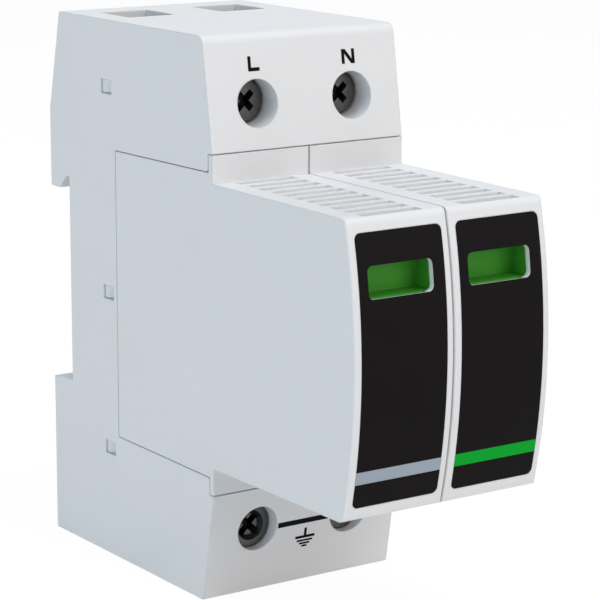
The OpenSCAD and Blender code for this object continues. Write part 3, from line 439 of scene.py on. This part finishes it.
# The earth sign: its middle, its stem and the stem's gap to the bridge,
# and the half length, height and thickness of each bar
EARTH_X = 0.62
STEM_T = 0.48
STEM_GAP = 0.85
EARTH_BARS = [(1.9, -37.32, 0.46), (1.53, -37.97, 0.32), (1.02, -38.48, 0.32), (0.51, -38.95, 0.32)]
ink_strokes("mark_earth", lower_face, [
    bar_of(-BRIDGE_X, BRIDGE_X, *BRIDGE_Z),
    bar_of(EARTH_X - STEM_T / 2, EARTH_X + STEM_T / 2, EARTH_BARS[0][1], BRIDGE_Z[0] - STEM_GAP),
    *[bar_of(EARTH_X - half, EARTH_X + half, z - thick / 2, z + thick / 2) for half, z, thick in EARTH_BARS]])

# Cartridge housings
# Two tall shells in the same polyamide as the base, with a flange that seats on the terminal blocks,
# a grooved nose for the fingers and a curved front. A plate closes each at the rear.
dress(grained_plastic("cartridge_plastic", HOUSING_GREY),
      "line_housing", "neutral_housing", "line_back_plate", "neutral_back_plate")

# Front films
# Black polyester films glued in a shallow recess of the curved front, bare but for one stripe
# printed across the foot: grey on the line cartridge, green on the neutral one.
FILM_BLACK = (0.0042, 0.003, 0.0034)
FILM_TINTS = (0.85, 1.2)
STRIPE_Z = (-16.65 * MM, -14.7 * MM)
STRIPES = {"line": (0.33, 0.39, 0.445), "neutral": (0.0, 0.365, 0.026)}
for pole, stripe in STRIPES.items():
    film, shader, place = new_material(f"{pole}_film")
    black = surface(shader, place, [tint(FILM_BLACK, t) for t in FILM_TINTS], patch=8 * MM, grain=0.2 * MM,
                    rough=0.47, depth=0.01 * MM, strength=0.12, edge=0.1 * MM)
    height = place.axis(2)
    band = (height > STRIPE_Z[0]) * (height < STRIPE_Z[1])
    feed(shader, Base_Color=band.blend(black, stripe), Specular_IOR_Level=0.07)
    dress(film, f"{pole}_front_film")

# Cartridge blades and cores
# Tin-plated copper blades; the line cartridge holds a blue coated varistor block,
# the neutral one a white ceramic gas tube between two end plates.
TIN = (0.74, 0.73, 0.70)
VARISTOR_BLUE = (0.02, 0.045, 0.17)
CERAMIC = (0.80, 0.78, 0.72)
dress(drawn_metal("tinned_copper", TIN, rough=0.3),
      *[f"{p}_{end}_blade" for p in STRIPES for end in ("upper", "lower")])
dress(grained_plastic("varistor_coating", VARISTOR_BLUE, grain=0.6 * MM, rough=0.3), "line_varistor")
dress(grained_plastic("tube_ceramic", CERAMIC, grain=0.4 * MM, rough=0.35), "neutral_gas_tube")

# Trip levers and status flags
# Dark moulded carriers and levers; each lever holds the green tray that fills its window,
# and drops it clear of a red plate when the solder joint lets go.
CARRIER_GREY = (0.05, 0.053, 0.056)
FLAG_GREEN = (0.058, 0.335, 0.03)
PLATE_RED = (0.52, 0.022, 0.016)
dress(grained_plastic("carrier_plastic", CARRIER_GREY, grain=0.3 * MM, rough=0.5),
      *[f"{p}_{inner}" for p in STRIPES for inner in ("carrier", "trip_lever")])
for name, colour, shown in (("flag_green", FLAG_GREEN, "status_flag"), ("plate_red", PLATE_RED, "status_plate")):
    dress(grained_plastic(name, colour, grain=0.3 * MM, rough=0.42, gloss=0.2),
          *[f"{p}_{shown}" for p in STRIPES])

# Studio
# A pale floor under the part, a white surround, and three large soft lamps as for a catalogue picture:
# a cool one overhead, a warm one in front and a cool one on the left.
FLOOR_SIZE = 6.0
FLOOR_GAP = 0.02 * MM
FLOOR_WHITE = (0.93, 0.93, 0.93)
floor_mesh = bpy.data.meshes.new("floor")
bm = bmesh.new()
bmesh.ops.create_grid(bm, x_segments=1, y_segments=1, size=FLOOR_SIZE / 2,
                      matrix=Matrix.Translation((0, 0, cad_box[0].z - FLOOR_GAP)))
bm.to_mesh(floor_mesh)
bm.free()
floor = bpy.data.objects.new("floor", floor_mesh)
bpy.context.scene.collection.objects.link(floor)
floor_paint, floor_shader, _ = new_material("floor_paint")
feed(floor_shader, Base_Color=(*FLOOR_WHITE, 1.0), Roughness=0.9, Specular_IOR_Level=0.1)
floor_mesh.materials.append(floor_paint)


def seen_ray(tree):
    """1 on rays that show the surround itself: to the camera, in gloss and through glass."""
    path = tree.nodes.new("ShaderNodeLightPath")
    ray = Wire(tree, path.outputs["Is Camera Ray"])
    for other in ("Is Glossy Ray", "Is Transmission Ray"):
        ray = ray.math("MAXIMUM", ray, Wire(tree, path.outputs[other]))
    return ray


# To the eye the floor is mostly paper white, and the rest of it keeps the part's soft shadow
GLOW_SHARE = 0.88
GLOW_STRENGTH = 1.045
floor_tree = floor_paint.node_tree
glow = floor_tree.nodes.new("ShaderNodeEmission")
glow.inputs["Strength"].default_value = GLOW_STRENGTH
share = seen_ray(floor_tree) * GLOW_SHARE
both = share.make("ShaderNodeMixShader", inputs={0: share, 1: Wire(floor_tree, floor_shader.outputs[0]),
                                                2: Wire(floor_tree, glow.outputs[0])})
floor_tree.links.new(both.socket, floor_tree.nodes["Material Output"].inputs["Surface"])

# The surround looks white, and lights the part far less than the lamps do
SURROUND_STRENGTH = 0.186
world = bpy.data.worlds.new("surround")
bpy.context.scene.world = world
world.use_nodes = True
sky = world.node_tree
background = sky.nodes["Background"]
background.inputs["Color"].default_value = (1.0, 1.0, 1.0, 1.0)
strength = SURROUND_STRENGTH + (1.0 - SURROUND_STRENGTH) * seen_ray(sky)
sky.links.new(strength.socket, background.inputs["Strength"])

# Square area lamps: place and size in metres, watts, and colour
LAMPS = {"overhead": ((0.1, -0.25, 1.3), 1.2, 13.1, (0.87, 0.94, 1.0)),
         "front": ((0.35, -1.4, 0.55), 0.9, 7.6, (1.0, 0.876, 0.803)),
         "left": ((-1.3, -0.35, 0.3), 1.0, 7.7, (0.74, 0.883, 1.0))}
LAMPS_FACE = Vector((0, -0.04, 0))
for name, (place, size, watts, colour) in LAMPS.items():
    lamp = bpy.data.lights.new(name, "AREA")
    lamp.size = size
    lamp.energy = watts
    lamp.color = colour
    holder = bpy.data.objects.new(name, lamp)
    holder.location = place
    holder.rotation_euler = (LAMPS_FACE - Vector(place)).to_track_quat("-Z", "Y").to_euler()
    bpy.context.scene.collection.objects.link(holder)

# Camera
# The catalogue view: from the left and a little above, with a long lens.
CAMERA_AT = (-221.96 * MM, -364.78 * MM, 87.26 * MM)
AZIMUTH = math.radians(-34.517)
ELEVATION = math.radians(12.294)
ROLL = math.radians(0.166)
lens = bpy.data.cameras.new("camera")
lens.sensor_width = 36.0
lens.lens = 151.06
lens.clip_start = 0.01
lens.clip_end = 20.0
camera = bpy.data.objects.new("camera", lens)
camera.location = CAMERA_AT
level = Euler((math.pi / 2 - ELEVATION, 0, AZIMUTH)).to_matrix()
camera.rotation_euler = (level @ Matrix.Rotation(ROLL, 3, "Z")).to_euler()
bpy.context.scene.collection.objects.link(camera)
bpy.context.scene.camera = camera
bpy.context.scene.view_settings.view_transform = "Standard"
